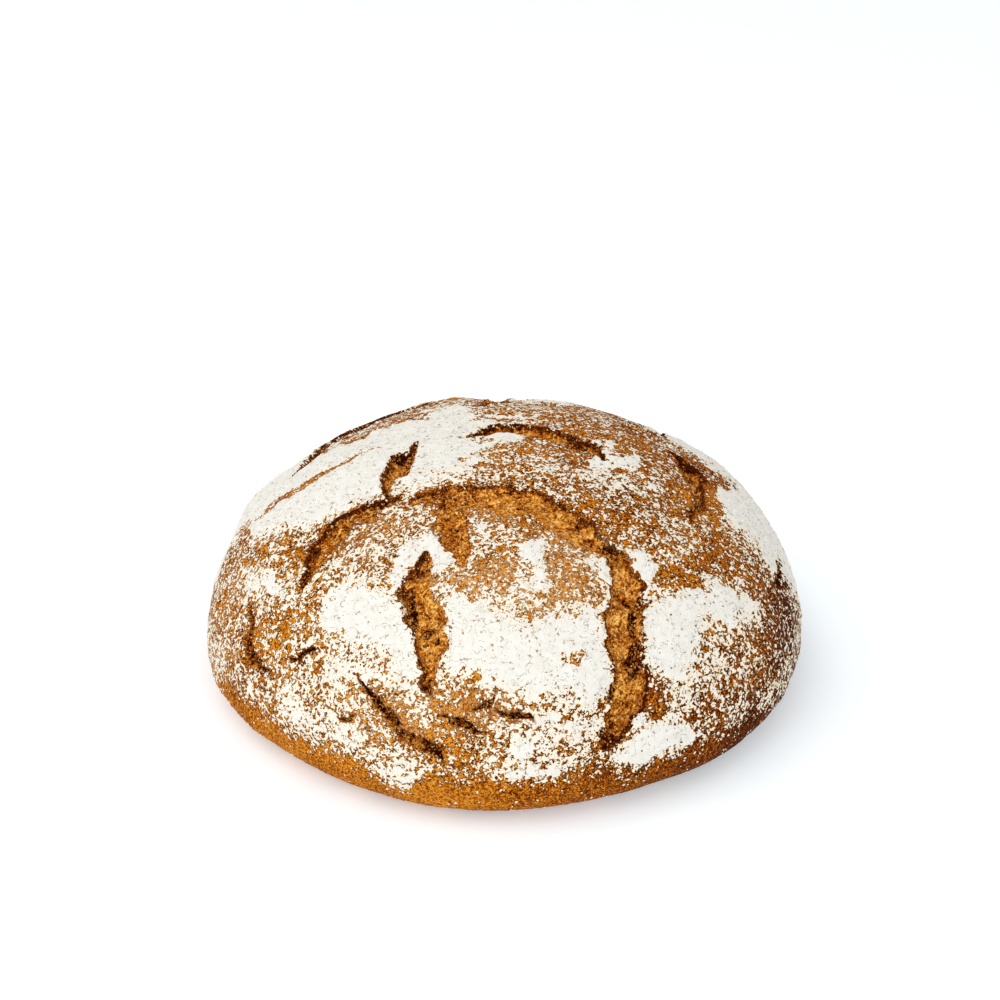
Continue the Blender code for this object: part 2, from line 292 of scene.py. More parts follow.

# %% [markdown]
# What the bursts do to the crust is kept as separate maps: how much they lower it, where the crumb is torn
# open, and where the crust is dark, which is partly a burnt edge and partly painted shade along steep walls
# and in narrow tears. The height uses the first, and the colours use the rest.


# %% The maps of the bursts
def tear(flat, torn_grain):
    """The relief of the bursts in metres, and two masks: torn crumb, and the dark edge of the crust, which
    is partly a scorched rim and partly painted shade.

    Inside a burst the crust falls with a steep or a gentle smooth step at either side. A lip is a hill just
    past the edge, and a wide shallow hollow lies round the whole tear. Crumb shows where the crust has
    fallen by about half. The dark edge is strongest on the steep side, where it is painted shade of the
    wall, and narrow tears get painted shade inside."""
    relief = np.zeros(len(flat))
    torn = np.zeros(len(flat))
    burnt = np.zeros(len(flat))
    for depth, lip, steep, points in BURSTS.values():
        path = smooth_path(points)
        widest = path[:, 2].max()
        reach = widest + 3 * HOLLOW_REACH
        near = np.all((flat > path[:, :2].min(0) - reach) & (flat < path[:, :2].max(0) + reach), axis=1)
        across, width = across_path(flat[near], path)
        x = across / width
        left_wall = STEEP_WALL if steep >= 0 else GENTLE_WALL
        right_wall = STEEP_WALL if steep <= 0 else GENTLE_WALL
        inside = smooth_step((1 - x) / left_wall) * smooth_step((1 + x) / right_wall)
        size = np.sqrt(width / widest)
        past_edge = (np.abs(across) - width) / LIP_REACH
        on_steep_side = x * steep > 0
        lip_share = np.where(on_steep_side, 1, GENTLE_LIP)
        lip_here = np.where(past_edge > 0, np.exp(-past_edge ** 2), 0) * lip_share
        hollow = np.exp(-(across / HOLLOW_REACH) ** 2) * (widest / FULL_HALF_WIDTH)
        relief[near] += lip * MM * size * lip_here - HOLLOW_DEPTH * hollow * size
        relief[near] -= inside * size * (depth * MM + TORN_RELIEF * torn_grain[near])
        crumb = smooth_step(2.2 * inside) * smooth_step(width / CRUMB_HALF_WIDTH)
        torn[near] = np.maximum(torn[near], crumb)
        # The dark edge: a scorched rim with painted shade, full on the steep side and inside narrow tears.
        edge = np.exp(-((np.abs(across) - width) / BURNT_AND_SHADE_REACH) ** 2)
        strong = np.where(on_steep_side | (steep == 0), 1.0, GENTLE_BURN_AND_SHADE)
        narrow = smooth_step(2 * inside) * (1 - smooth_step(width / NARROW_TEAR))
        dark = np.maximum(edge * strong, narrow) * smooth_step(size * depth * MM / BURNT_AND_SHADE_DEPTH)
        burnt[near] = np.maximum(burnt[near], dark)
    return relief, torn, burnt


# %% [markdown]
# ## The flour
#
# The dough was dusted before it rose, so the flour split into fields as the skin stretched. Between the
# bursts it is a thick white cake, elsewhere it has broken into specks, and near the foot there is none. The
# cover is a number from 0 to 1 on the flat map. A field in front is an outline of a few points with a soft
# edge, and the back gets its fields from soft hills that are cut off at one height. Painting the cover by
# hand would also work, but outlines can be read and changed.

# %% The fields of flour
# Each field: how much of the crust it covers, how far its edge fades in millimetres, and its outline as
# points of (right of the crown, behind it), also in millimetres.
FLOUR_FIELDS = {
    "upper left": (0.91, 6, ((-88, -7), (-79, 0), (-62, -4), (-46, -6), (-44, -25), (-58, -28), (-72, -32),
        (-84, -22))),
    "crown flake": (0.93, 2, ((-40, -13), (-30, -19), (-21, -26), (-30, -28), (-42, -31), (-51, -29),
        (-41, -23))),
    "left rim": (0.86, 4, ((-92, 46), (-78, 33), (-66, 13), (-57, 4), (-72, 9), (-92, 14), (-107, 7),
        (-119, 18), (-112, 32))),
    "left": (0.95, 6, ((-66, -62), (-52, -71), (-42, -76), (-33, -88), (-32, -108), (-38, -111), (-47, -99),
        (-60, -90), (-72, -85), (-74, -72))),
    "burst tip": (0.97, 2, ((-29, -50), (-24, -53), (-19, -64), (-21, -71), (-28, -66), (-34, -62),
        (-38, -72), (-43, -75), (-42, -66), (-41, -56))),
    "left clump": (0.86, 2, ((-97, -38), (-91, -44), (-88, -53), (-92, -56), (-98, -45))),
    "rim clump": (0.75, 3, ((-107, -33), (-100, -38), (-99, -47), (-106, -44))),
    "crown patch": (0.96, 1.6, ((9, -56), (14, -57), (17, -68), (17, -77), (14, -79), (11, -77), (5, -81),
        (3, -74), (5, -62))),
    "saddle flakes": (0.93, 1.2, ((-16, -43), (-10, -44), (-11, -47), (-14, -46))),
    "saddle lump": (0.95, 1.0, ((-13, -51), (-11, -49), (-8, -51), (-10, -53))),
    "saddle edge": (0.92, 1.2, ((-17, -60), (-15, -57), (-13, -61), (-14, -65), (-17, -64))),
    "saddle foot": (0.92, 1.2, ((-16, -68), (-14, -67), (-13, -70), (-16, -71))),
    "arch fringe": (0.62, 2, ((-4, -44), (3, -41), (14, -44), (15, -52), (12, -48), (6, -47))),
    "burst fringe": (0.80, 2, ((31, -62), (38, -61), (42, -67), (41, -76), (38, -78), (36, -68))),
    "veil": (0.09, 8, ((-18, -56), (3, -54), (20, -62), (36, -62), (38, -78), (17, -85), (-4, -81),
        (-23, -77))),
    "under crescent": (0.25, 6, ((-70, -50), (-46, -48), (-42, -60), (-62, -66))),
    "front veil": (0.30, 6, ((-3, -129), (35, -123), (43, -129), (21, -138), (-4, -138))),
    "middle": (0.94, 6, ((-23, -79), (-14, -81), (-6, -80), (-3, -85), (6, -90), (25, -88), (33, -82),
        (40, -80), (38, -91), (43, -101), (40, -110), (21, -117), (9, -117), (-8, -112), (-24, -108))),
    "right": (0.94, 6.5, ((51, -80), (57, -75), (74, -68), (81, -75), (79, -90), (72, -100), (60, -102),
        (52, -92))),
    "right edge": (0.94, 1.8, ((42, -55), (52, -53), (60, -58), (57, -66), (55, -76), (51, -66),
        (46, -60))),
    "right shoulder": (0.88, 5, ((54, -78), (67, -70), (68, -62), (72, -56), (82, -52), (93, -53),
        (102, -47), (105, -54), (101, -62), (92, -71), (80, -72))),
    "middle hem": (0.80, 3, ((30, -106), (44, -108), (43, -117), (36, -122), (28, -118))),
    "hem by the burst": (0.45, 3, ((27, -126), (43, -122), (43, -129), (34, -134), (22, -137))),
    "far left hem": (0.30, 6, ((-138, -6), (-150, -12), (-156, -30), (-152, -54), (-142, -66),
        (-130, -60))),
    "far right hem": (0.34, 6, ((140, -6), (150, -12), (154, -36), (148, -64), (136, -84), (124, -84),
        (134, -40))),
    "right rim": (0.88, 4, ((106, -3), (118, 3), (133, 9), (138, -3), (133, -14), (122, -16), (110, -31),
        (103, -20))),
    "low right": (0.95, 4, ((50, -135), (62, -124), (67, -117), (84, -113), (94, -113), (88, -121),
        (73, -132), (62, -140), (53, -138))),
    "low right veil": (0.26, 5, ((95, -99), (122, -77), (135, -52), (139, -70), (120, -98), (109, -109),
        (91, -109))),
    "burst foot": (0.93, 2, ((59, -112), (62, -118), (58, -125), (52, -126), (53, -118))),
    "front": (0.92, 2.5, ((7, -126), (21, -122), (23, -126), (12, -129))),
    "front streak": (0.90, 2.5, ((0, -137), (8, -133), (16, -134), (8, -141))),
    "front hem": (0.90, 2.5, ((-4, -145), (10, -143), (29, -143), (24, -149), (6, -148))),
    "nick": (0.90, 2, ((-88, -80), (-83, -82), (-79, -82), (-83, -85))),
    "under left": (0.66, 6, ((-76, -92), (-60, -96), (-46, -105), (-34, -114), (-46, -112), (-62, -107),
        (-78, -102))),
    "low left": (0.52, 8, ((-104, -92), (-88, -100), (-68, -112), (-52, -124), (-66, -134), (-86, -121),
        (-102, -105))),
    "low streaks": (0.74, 4, ((-64, -136), (-50, -137), (-38, -143), (-44, -148), (-58, -145))),
    "right fringe": (0.40, 8, ((76, -62), (92, -64), (100, -80), (92, -98), (76, -112), (60, -112),
        (72, -100), (82, -84))),
}
# Places where flour is scarce, each as (right, back, half length, half width, turn in degrees, share lost),
# in millimetres.
BARE_SPOTS = (
    (26, -102, 5, 2.2, 6, 0.6), (-76, 4, 24, 3, 8, 0.8), (24, -80, 12, 4, 8, 0.4),
    (-6, -72, 17, 7, 0, 0.5), (26, -70, 11, 7, 0, 0.35),
    (70, -60, 8, 5, -5, 0.75), (61, -111, 9, 4.5, 15, 0.75), (2, -40, 42, 9, -18, 0.6),
    (-62, -36, 14, 6, 35, 0.5), (-20, -120, 14, 3, -8, 0.4), (-40, -124, 18, 3, -30, 0.4),
)
FLOUR_MEAN = 0.42
RIGHT_LOSS = 0.14
RIGHT_LOSS_OVER = 90 * MM
FLOUR_BLOTCHES = ((13 * MM, 0.12, 51), (5 * MM, 0.12, 52))
LEAST_COVER = 0.02
FLOUR_WARPS = ((12 * MM, 1.4 * MM, 41), (5 * MM, 1.9 * MM, 43), (2 * MM, 1.0 * MM, 45))
BACK_BEND = 3.5
BACK_BLOTCHES = ((46 * MM, 0.62, 55), (21 * MM, 0.38, 56))
BACK_COVER = 0.96
BACK_CUT = -0.27
BACK_CUT_OVER = 0.20
BACK_FROM = -30 * MM
BACK_OVER = 22 * MM
HALO_REACH = 10 * MM
HALO_COVER = 0.2
FOOT_BARE_FROM = 146 * MM
FOOT_BARE_OVER = 9 * MM
FAR_OUT = 12 * MM


def inside_by(flat, outline):
    """How far each flat point lies inside an outline, in metres, and less than 0 outside it.

    A point is inside if a line from it to the right crosses the outline an odd number of times. Points
    that are far away all get the same number."""
    start = np.array(outline) * MM
    near = np.all((flat > start.min(0) - FAR_OUT) & (flat < start.max(0) + FAR_OUT), axis=1)
    along = np.roll(start, -1, axis=0) - start
    offset, _, away = from_segments(flat[near], start, along)
    distance = np.sqrt((away ** 2).sum(2).min(axis=1))
    level = offset[..., 1] / np.where(along[:, 1] == 0, 1e-9, along[:, 1])
    crosses = (level >= 0) & (level < 1) & (offset[..., 0] < level * along[:, 0])
    inside = np.full(len(flat), -FAR_OUT)
    inside[near] = np.where(crosses.sum(axis=1) % 2 == 1, distance, -distance)
    return inside


def spot_shape(flat, right, back, half_length, half_width, turn):
    """1 in the middle of an ellipse on the flat map, falling to 0 from 0.6 to 1.4 of its half sizes."""
    angle = math.radians(turn)
    away = flat - np.array([right, back]) * MM
    along = away @ np.array([math.cos(angle), math.sin(angle)]) / (half_length * MM)
    beside = away @ np.array([-math.sin(angle), math.cos(angle)]) / (half_width * MM)
    return smooth_step((1.4 - np.hypot(along, beside)) / 0.8)


def flour_cover(flat, place):
    """The share of the crust that flour covers, from 0 to 1, before the tears take it away.

    The mean falls from left to right and soft blotches break it up. Then come the back's fields, the bare
    band over the foot, the outlined fields and the bare spots."""
    warp = sum(reach * np.column_stack([swell(place, size, seed), swell(place, size, seed + 1)])
               for size, reach, seed in FLOUR_WARPS)
    ragged = flat + warp
    cover = FLOUR_MEAN - RIGHT_LOSS * smooth_step(flat[:, 0] / RIGHT_LOSS_OVER)
    for size, share, seed in FLOUR_BLOTCHES:
        cover = cover + share * swell(place, size, seed)
    bent = place + np.column_stack([BACK_BEND * warp, np.zeros(len(warp))])
    hills = summed_swells(bent, BACK_BLOTCHES)
    behind = smooth_step((flat[:, 1] - BACK_FROM) / BACK_OVER)
    cover = cover + (BACK_COVER - cover) * behind * smooth_step((hills - BACK_CUT) / BACK_CUT_OVER)
    over_crust = np.hypot(ragged[:, 0], ragged[:, 1])
    cover = cover * smooth_step((FOOT_BARE_FROM + FOOT_BARE_OVER - over_crust) / FOOT_BARE_OVER)
    for amount, fade, outline in FLOUR_FIELDS.values():
        inside = inside_by(ragged, outline)
        shape = amount * smooth_step(0.5 + inside / (2 * fade * MM))
        shape = np.maximum(shape, HALO_COVER * amount * smooth_step(1 + inside / HALO_REACH))
        cover = 1 - (1 - np.clip(cover, LEAST_COVER, 1)) * (1 - shape)
    for *spot, loss in BARE_SPOTS:
        cover = cover * (1 - loss * spot_shape(ragged, *spot))
    return cover


print(len(FLOUR_FIELDS), "fields of flour and", len(BARE_SPOTS), "bare spots")

# %% [markdown]
# ## The grid of the crust
#
# The skin of the loaf is a square net bent into a disc, which is the flat map of the crust. Each square
# ring of the net becomes a circle, so the crown has no pole where triangles crowd. Its edge is the rim of
# the foot, and rings run on from there to the middle of the underside, so the skin closes.


# %% The net
def round_net(count):
    """A net of count by count points bent into a disc of radius 1: the larger coordinate of a point becomes
    its distance from the middle, and its angle runs evenly along each side of the square."""
    side = np.linspace(-1, 1, count)
    right, back = np.meshgrid(side, side)
    flatter = np.abs(right) > np.abs(back)
    far = np.where(flatter, right, back)
    near = np.where(flatter, back, right)
    share = near / far
    angle = np.where(flatter, math.pi / 4 * share, math.pi / 2 - math.pi / 4 * share)
    return np.column_stack([(far * np.cos(angle)).ravel(), (far * np.sin(angle)).ravel()])


def quads_to_triangles(quads):
    """Each four-sided face as two triangles."""
    return np.vstack([quads[:, [0, 1, 2]], quads[:, [0, 2, 3]]])


def net_triangles(count):
    """The triangles of a net of count by count points, seen from above turning to the left."""
    index = np.arange(count * count).reshape(count, count)
    corners = [index[:-1, :-1], index[:-1, 1:], index[1:, 1:], index[1:, :-1]]
    return quads_to_triangles(np.column_stack([corner.ravel() for corner in corners]))


def net_rim(count):
    """The points round the edge of a net of count by count points, turning to the left."""
    index = np.arange(count * count).reshape(count, count)
    return np.concatenate([index[0, :-1], index[:-1, -1], index[-1, :0:-1], index[:0:-1, 0]])


def foot_triangles(rim, first, rings):
    """The triangles of the underside: bands from the rim through each ring of new points to the last point,
    which is the middle. The new points start at index first."""
    count = len(rim)
    inner = first + np.arange(rings * count).reshape(rings, count)
    circles = np.vstack([rim[None], inner])
    outer, after = circles[:-1], circles[1:]
    quads = np.stack([np.roll(outer, -1, 1), outer, after, np.roll(after, -1, 1)], axis=-1).reshape(-1, 4)
    middle = np.full(count, first + rings * count)
    fan = np.column_stack([np.roll(circles[-1], -1), circles[-1], middle])
    return np.vstack([quads_to_triangles(quads), fan])


NET_COUNT = 640
FOOT_RINGS = 24
print("the net has", NET_COUNT ** 2, "points")

# %% [markdown]
# ## The height of the crust
#
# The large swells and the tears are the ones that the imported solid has, from the same numbers. On top of
# them come what only a fine mesh can hold: scalloped edges, ridged crumb with holes, wrinkles of dried
# skin, the thickness of the flour cake and a few small pocks where a bubble opened.

# %% Shape of the crust
DOUGH_SWELLS = ((62 * MM, 1.4 * MM, 5), (25 * MM, 0.9 * MM, 8), (9 * MM, 0.4 * MM, 15))
# Each lump as (right, back, reach, height), in millimetres.
DOUGH_LUMPS = ((-110, 42, 15, 3.0),)
SKIN_WRINKLES = ((2.8 * MM, 0.10 * MM, 61), (1.4 * MM, 0.06 * MM, 62))
CRUMB_RIDGES = ((6.5 * MM, 0.9 * MM, 70), (2.8 * MM, 0.6 * MM, 71), (1.4 * MM, 0.4 * MM, 72))
CRUMB_RISE = 0.9 * MM
OPEN_FROM = 0.02
CRUMB_HOLES = ((7.5 * MM, 2.0 * MM, 91), (4.2 * MM, 1.4 * MM, 94))
HOLE_BEND = 0.5 * MM
BURNT_AND_SHADE_FLOUR_LOSS = 0.6
POCK_SIZE = 15 * MM
POCK_DEPTH = 1.0 * MM
POCK_SEED = 95
CAKE_THICKNESS = 0.25 * MM
CAKE_FROM = 0.62
CAKE_OVER = 0.2
FOOT_FADE = 22 * MM
FOOT_DENTS_FADE = 12 * MM
FOOT_DENTS = ((17 * MM, 0.5 * MM, 81), (4 * MM, 0.12 * MM, 82))


def lump_relief(flat):
    """How far single lumps of dough raise the crust: a bell round the middle of each."""
    relief = np.zeros(len(flat))
    for right, back, reach, tall in DOUGH_LUMPS:
        away = np.hypot(flat[:, 0] - right * MM, flat[:, 1] - back * MM)
        relief += tall * MM * np.exp(-(away / (reach * MM)) ** 2)
    return relief


def shaped_crust(flat_net):
    """The place of each point of the crust, and its maps: flour, torn crumb, the dark edge that is partly a
    scorched rim and partly painted shade, painted shade in the holes, and the crumb's height, 0 at its
    middle, which paints light on the ridge tops and shade between them."""
    place, way_out, lean_r, lean_z = unroll(flat_net)
    over_crust = np.hypot(flat_net[:, 0], flat_net[:, 1])
    ragged = np.column_stack([swell(place, RAGGED_GRAIN, seed) for seed in RAGGED_SEEDS])
    scallop = np.column_stack([swell(place, SCALLOP_GRAIN, seed) for seed in SCALLOP_SEEDS])
    flat = flat_net + RAGGED_REACH * ragged + SCALLOP_REACH * scallop
    height = summed_swells(place, DOUGH_SWELLS)
    relief, torn, burnt = tear(flat, swell(place, TORN_GRAIN, TORN_SEED))
    cover = flour_cover(flat_net, place) * (1 - torn) * (1 - BURNT_AND_SHADE_FLOUR_LOSS * burnt)

    crumb = sum(tall * (0.5 - np.abs(swell(place, size, seed))) for size, tall, seed in CRUMB_RIDGES)
    # This height paints light on the crumb's ridge tops and shade between them.
    ridges = crumb / CRUMB_RISE - 0.5
    wrinkles = summed_swells(place, SKIN_WRINKLES)
    open_crumb = torn > OPEN_FROM
    bend = HOLE_BEND * np.column_stack([scallop[open_crumb], scallop[open_crumb, :1]])
    # Painted shade: the crumb is coloured darker towards the middle of each hole.
    pits = np.zeros(len(place))
    for size, depth, seed in CRUMB_HOLES:
        pit = torn[open_crumb] * holes(place[open_crumb] + bend, size, seed)
        crumb[open_crumb] -= depth * pit
        pits[open_crumb] = np.maximum(pits[open_crumb], pit)
    height = height + lump_relief(flat) + relief + torn * crumb + (1 - torn) * wrinkles
    height = height + CAKE_THICKNESS * smooth_step((cover - CAKE_FROM) / CAKE_OVER)
    pock = holes(place, POCK_SIZE, POCK_SEED) * (1 - torn)
    height = height - POCK_DEPTH * smooth_step(3 * pock - 1.6)
    height = height * smooth_step((CRUST_REACH - over_crust) / FOOT_FADE)

    place[:, :2] += way_out * (height * lean_r)[:, None]
    place[:, 2] = np.maximum(place[:, 2] + height * lean_z, 0)
    return place, cover, torn, burnt, pits, ridges


def underside(rim_places):
    """The circles of the foot inside its rim and then its middle: flat on the ground, with shallow dents."""
    share = np.linspace(1, 0, FOOT_RINGS + 2)[1:-1]
    circles = share[:, None, None] * rim_places[None, :, :2]
    level = np.vstack([circles.reshape(-1, 2), np.zeros((1, 2))])
    place = np.column_stack([level, np.zeros(len(level))])
    inward = smooth_step((FOOT_RADIUS - np.hypot(level[:, 0], level[:, 1])) / FOOT_DENTS_FADE)
    dents = summed_swells(place, FOOT_DENTS)
    place[:, 2] = np.maximum(dents, 0) * inward
    return place


flat_net = CRUST_REACH * round_net(NET_COUNT)
crust_place, crust_cover, crust_torn, crust_burnt_and_shade, crust_hole_shade, crust_ridge_light = shaped_crust(flat_net)
middle = (crust_place.min(0) + crust_place.max(0)) / 2
crust_place[:, :2] -= middle[:2]
rim = net_rim(NET_COUNT)
foot_place = underside(crust_place[rim])
print("the crust covers", round(100 * float(crust_cover.mean())), "per cent with flour")

# %% [markdown]
# ## From arrays to a mesh
#
# A mesh takes its points and triangles as flat arrays, and each map becomes an attribute of its points,
# which the materials read. The net is twice as fine as the loaf needs where the crust is smooth, so a
# Decimate modifier merges triangles there and leaves them small in the tears.

# %% Mesh helpers
CRUST_TRIANGLES = 196000
root = "root"


def mesh_from(name, points, triangles, maps):
    """A smooth mesh from arrays of points and triangles, with a number at each point for each map."""
    mesh = bpy.data.meshes.new(name)
    mesh.vertices.add(len(points))
    mesh.vertices.foreach_set("co", points.astype(np.float32).ravel())
    mesh.loops.add(3 * len(triangles))
    mesh.loops.foreach_set("vertex_index", triangles.astype(np.int32).ravel())
    mesh.polygons.add(len(triangles))
    mesh.polygons.foreach_set("loop_start", np.arange(0, 3 * len(triangles), 3, dtype=np.int32))
    mesh.update(calc_edges=True)
    for key, values in maps.items():
        attribute = mesh.attributes.new(key, "FLOAT", "POINT")
        attribute.data.foreach_set("value", values.astype(np.float32))
    mesh.shade_smooth()
    return mesh


def new_piece(name, mesh):
    """An object at the origin that shows the mesh and rides on the loaf's one body."""
    piece = bpy.data.objects.new(name, mesh)
    bpy.context.scene.collection.objects.link(piece)
    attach(piece, root)
    return piece


def thinned(piece, triangles):
    """Replaces the piece's mesh by one of about this many triangles."""
    fewer = piece.modifiers.new("fewer_triangles", "DECIMATE")
    fewer.ratio = triangles / len(piece.data.polygons)
    graph = bpy.context.evaluated_depsgraph_get()
    mesh = bpy.data.meshes.new_from_object(piece.evaluated_get(graph), depsgraph=graph)
    piece.modifiers.remove(fewer)
    piece.data = mesh
    print(piece.name, "has", len(mesh.polygons), "triangles")


# %% [markdown]
# The bake of the crust is a last map: a tone from 0, golden, to 1, nearly burnt. This loaf is darker to its
# right, partly from its bake and partly as painted shade on the side away from the light, and its underside
# is brown all over.

# %% The crust
# Where the bake darkens: by how much, from where, and over which distance. The rise to the right and at the
# right rim is partly painted shade.
RIGHT_BAKE_AND_SHADE = (0.27, -10 * MM, 110 * MM)
RIM_BAKE_AND_SHADE = (0.34, 90 * MM, 40 * MM)
FOOT_BAKE = (0.10, 132 * MM, 24 * MM)
BACK_BAKE = (0.10, -40 * MM, 80 * MM)
BAKE_MEAN = 0.30
UNDERSIDE_BAKE = 0.62
UNDERSIDE_FLOUR = 0.16
UNDERSIDE_BLOTCHES = ((21 * MM, 0.12, 111),)
BAKE_WAVES = ((34 * MM, 0.14, 101), (11 * MM, 0.12, 102), (3.6 * MM, 0.08, 103))
# Thin flour, each spot as (right, back, half length, half width, turn in degrees, amount), in millimetres.
FILM_SPOTS = (
    (0, -78, 34, 12, 0, 0.75), (24, -62, 18, 14, 0, 0.6), (-44, -118, 24, 12, -12, 0.45),
    (-12, -122, 24, 9, 0, 0.4), (-14, -46, 18, 14, 0, 0.25), (-50, -48, 16, 10, 20, 0.4),
)


def spread_of(cover):
    """The cover as a place on a bell curve: how many spreads of a noise lie below it. The logit of the
    cover over 1.6 comes close to that."""
    cover = np.clip(cover, 0.004, 0.996)
    return np.log(cover / (1 - cover)) / 1.6


def darker(x, share, start, over):
    """A smooth rise of the tone from 0 to the share, from the start over this distance."""
    return share * smooth_step((x - start) / over)


def bake_and_shade_tone(place, flat):
    """How dark the crust is coloured: a mean that rises to the right, partly as painted shade, at the foot
    and to the back, with soft blotches."""
    right, back = flat[:, 0], flat[:, 1]
    tone = BAKE_MEAN + darker(right, *RIGHT_BAKE_AND_SHADE) + darker(right, *RIM_BAKE_AND_SHADE)
    tone = tone + darker(np.hypot(right, back), *FOOT_BAKE) + darker(back, *BACK_BAKE)
    return tone + summed_swells(place, BAKE_WAVES)


def thin_film(flat):
    """Where flour too thin to show as specks pales the crust: a few soft ellipses."""
    film = np.zeros(len(flat))
    for *shape, amount in FILM_SPOTS:
        film = np.maximum(film, amount * spot_shape(flat, *shape))
    return film


def with_underside(values, below=0.0):
    """A map of the crust and after it the underside's own, which is often one number."""
    return np.concatenate([values, np.broadcast_to(below, len(foot_place))])


crust_points = np.vstack([crust_place, foot_place])
foot_cover = UNDERSIDE_FLOUR + summed_swells(foot_place, UNDERSIDE_BLOTCHES)
crust_maps = {
    "dust": spread_of(with_underside(crust_cover, foot_cover)),
    "torn": with_underside(crust_torn),
    "burnt": with_underside(crust_burnt_and_shade),
    "pits": with_underside(crust_hole_shade),
    "ridges": with_underside(crust_ridge_light),
    "bake": with_underside(bake_and_shade_tone(crust_place, flat_net), UNDERSIDE_BAKE),
    "film": with_underside(thin_film(flat_net)),
}
crust_faces = np.vstack([net_triangles(NET_COUNT), foot_triangles(rim, len(crust_place), FOOT_RINGS)])
crust = new_piece("crust", mesh_from("crust", crust_points, crust_faces, crust_maps))
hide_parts("loaf")
thinned(crust, CRUST_TRIANGLES)

# %% [markdown]
# ## Materials from expressions
#
# A finish here is arithmetic on noises and maps: where is flour, how thick, what lies under it. Written as
# Python expressions it reads like the recipe that it is. A small class wraps the output of a node, and its
# operators add the Math nodes. Everything else goes through one method that makes any node.


# %% Shader expressions
class Amount:
    """A number that varies over a surface. Arithmetic on it adds Math nodes to its finish."""

    def __init__(self, finish, socket):
        self.finish = finish
        self.socket = socket

    def math(self, operation, *inputs):
        """The result of one Math node."""
        node = self.finish.node("ShaderNodeMath", {"operation": operation}, dict(enumerate(inputs)))
        return Amount(self.finish, node.outputs[0])

    def __add__(self, other):
        return self.math("ADD", self, other)

    def __sub__(self, other):
        return self.math("SUBTRACT", self, other)

    def __rsub__(self, other):
        return self.math("SUBTRACT", other, self)

    def __mul__(self, other):
        return self.math("MULTIPLY", self, other)

    __radd__ = __add__
    __rmul__ = __mul__

    def far_from(self, level):
        """How far the number is from a level, either way."""
        return self.math("ABSOLUTE", self - level)

    def clamped(self):
        """The number held between 0 and 1."""
        return self.math("MINIMUM", self.math("MAXIMUM", self, 0.0), 1.0)

    def step(self, low, high):
        """A smooth rise from 0 where the number is low to 1 where it is high."""
        node = self.finish.node(
            "ShaderNodeMapRange",
            {"interpolation_type": "SMOOTHSTEP"},
            {"Value": self, "From Min": low, "From Max": high},
        )
        return Amount(self.finish, node.outputs["Result"])


class Finish:
    """A material whose nodes are made by name, with a Principled shader at the end."""

    def __init__(self, name, roughness, specular):
        self.material = bpy.data.materials.new(name)
        self.material.use_nodes = True
        self.tree = self.material.node_tree
        self.shader = self.tree.nodes["Principled BSDF"]
        self.shader.inputs["Roughness"].default_value = roughness
        self.shader.inputs["Specular IOR Level"].default_value = specular

    def node(self, kind, settings=None, values=None):
        """A node of this kind, its settings made first, then each input set to a number or linked."""
        made = self.tree.nodes.new(kind)
        for key, value in (settings or {}).items():
            if key == "stops":
                self.set_stops(made.color_ramp.elements, value)
            else:
                setattr(made, key, value)
        for key, value in (values or {}).items():
            self.feed(made.inputs[key], value)
        return made

    def set_stops(self, elements, stops):
        """Gives a colour ramp these stops of (place, colour)."""
        while len(elements) < len(stops):
            elements.new(1.0)
        for element, (place, colour) in zip(elements, stops):
            element.position = place
            element.color = (*colour, 1)

    def feed(self, socket, value):
        """Links a value that varies to the socket, or sets the socket to a plain one."""
        if isinstance(value, Amount):
            value = value.socket
        if isinstance(value, bpy.types.NodeSocket):
            self.tree.links.new(value, socket)
        else:
            socket.default_value = value

    def place(self):
        """The place on the object, in metres from its origin."""
        return self.node("ShaderNodeTexCoord").outputs["Object"]

    def map(self, name):
        """A map of the mesh, one number at each point."""
        node = self.node("ShaderNodeAttribute", {"attribute_name": name})
        return Amount(self, node.outputs["Fac"])

    def noise(self, size, detail=2.0, roughness=0.5, bent=0.0):
        """A soft noise about 0.5, with grains of about this size in metres, bent out of round."""
        values = {"Vector": self.place(), "Scale": 1 / size, "Detail": detail, "Roughness": roughness,
                  "Distortion": bent}
        return Amount(self, self.node("ShaderNodeTexNoise", None, values).outputs["Fac"])

    def ramp(self, amount, *stops):
        """The colour at this amount between the stops of (place, colour)."""
        return self.node("ShaderNodeValToRGB", {"stops": stops}, {"Fac": amount}).outputs["Color"]

    def mix(self, share, below, above):
        """The colour below, with this share of the one above over it. A plain colour is three numbers."""
        colours = [colour if isinstance(colour, bpy.types.NodeSocket) else (*colour, 1)
                   for colour in (below, above)]
        node = self.node("ShaderNodeMix", {"data_type": "RGBA"}, {0: share, 6: colours[0], 7: colours[1]})
        return node.outputs[2]

    def show(self, colour, roughness=None, height=None, tall=0.0):
        """Links the colour, the roughness and a relief of this many metres to the shader."""
        self.feed(self.shader.inputs["Base Color"], colour)
        if roughness is not None:
            self.feed(self.shader.inputs["Roughness"], roughness)
        if height is not None:
            bump = self.node("ShaderNodeBump", None, {"Distance": tall, "Height": height})
            self.feed(self.shader.inputs["Normal"], bump.outputs["Normal"])
        return self.material


# %% [markdown]
# ## The finish of the crust
#
# Three finishes lie in one material. Baked crust is golden to dark brown, with a fine grain of bran,
# painted shade beside the flour specks and a dull gloss. Torn crumb is rougher and golden, with painted
# shade in its hollows and painted light on its ridges. Flour is nearly white. The flour map says only how
# much of the crust is covered. A noise of specks is cut off at that level, which gives single flakes where
# there is little flour and a cake with hairline cracks where there is much.

